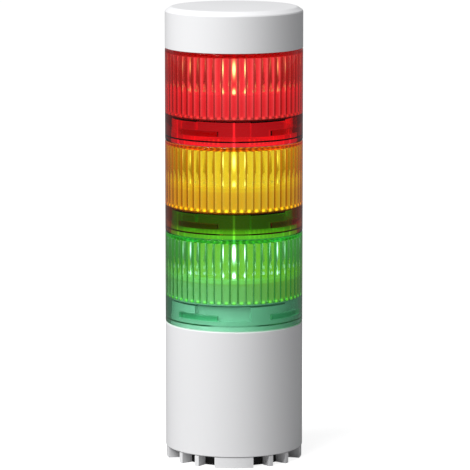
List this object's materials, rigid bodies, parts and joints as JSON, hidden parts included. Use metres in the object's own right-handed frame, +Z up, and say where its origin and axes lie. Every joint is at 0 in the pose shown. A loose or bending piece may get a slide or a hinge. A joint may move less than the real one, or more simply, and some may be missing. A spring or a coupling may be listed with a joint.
{
  "type": "stack light",
  "caption": "Round modular signal tower with red, amber and green LED units locked by bayonets on a white body, for direct panel mounting.",
  "frame": {"origin": "middle of the mounting face, at the bottom of the feet", "axes": "+Z up through the stack, -Y towards the front"},
  "size_m": [0.06, 0.06, 0.198],
  "materials": {
    "white_plastic": "satin moulded, off-white",
    "black_rubber": "matt",
    "seal_rubber": "matt",
    "brass": "turned",
    "steel": "zinc plated",
    "circuit_board": "green solder mask",
    "terminal_green": "moulded",
    "can_aluminium": "bright can",
    "black_plastic": "moulded",
    "gold_contact": "plated contact",
    "inner_white": "moulded",
    "led_board_white": "white solder mask",
    "clear_plastic": "polished clear acrylic",
    "reflector_white": "high-gloss white",
    "green_clear": "polished clear green",
    "amber_clear": "polished clear amber",
    "red_clear": "polished clear red",
    "green_led": "lit",
    "amber_led": "lit",
    "red_led": "lit"
  },
  "bodies": {
    "base": {"body_shell": "white_plastic", "base_plate": "white_plastic", "mounting_gasket": "black_rubber", "panel_inserts": "brass", "case_screws": "steel", "cable_grommet": "black_rubber", "control_board": "circuit_board", "terminal_block": "terminal_green", "terminal_screws": "steel", "capacitors": "can_aluminium", "driver_chips": "black_plastic", "body_contact_disc": "black_plastic", "body_contact_pads": "gold_contact", "body_seal": "seal_rubber"},
    "green_unit": {"green_lens": "green_clear", "green_carrier": "inner_white", "green_led_board": "led_board_white", "green_leds": "green_led", "green_inner_lens": "clear_plastic", "green_reflector": "reflector_white", "green_riser_board": "led_board_white", "green_contact_springs": "gold_contact", "green_contact_disc": "black_plastic", "green_contact_pads": "gold_contact", "green_seal": "seal_rubber"},
    "amber_unit": {"amber_lens": "amber_clear", "amber_carrier": "inner_white", "amber_led_board": "led_board_white", "amber_leds": "amber_led", "amber_inner_lens": "clear_plastic", "amber_reflector": "reflector_white", "amber_riser_board": "led_board_white", "amber_contact_springs": "gold_contact", "amber_contact_disc": "black_plastic", "amber_contact_pads": "gold_contact", "amber_seal": "seal_rubber"},
    "red_unit": {"red_lens": "red_clear", "red_carrier": "inner_white", "red_led_board": "led_board_white", "red_leds": "red_led", "red_inner_lens": "clear_plastic", "red_reflector": "reflector_white", "red_riser_board": "led_board_white", "red_contact_springs": "gold_contact", "red_contact_disc": "black_plastic", "red_contact_pads": "gold_contact", "red_seal": "seal_rubber"},
    "cap": {"top_cap": "white_plastic"}
  },
  "joints": [
    {"name": "green_unit_twist", "type": "hinge", "parent": "base", "child": "green_unit", "pos_m": [0, 0, 0.06], "axis": [0, 0, 1], "range_deg": [0, 19]},
    {"name": "amber_unit_twist", "type": "hinge", "parent": "green_unit", "child": "amber_unit", "pos_m": [0, 0, 0.1], "axis": [0, 0, 1], "range_deg": [0, 19]},
    {"name": "red_unit_twist", "type": "hinge", "parent": "amber_unit", "child": "red_unit", "pos_m": [0, 0, 0.14], "axis": [0, 0, 1], "range_deg": [0, 19]},
    {"name": "cap_twist", "type": "hinge", "parent": "red_unit", "child": "cap", "pos_m": [0, 0, 0.18], "axis": [0, 0, 1], "range_deg": [0, 19]}
  ]
}
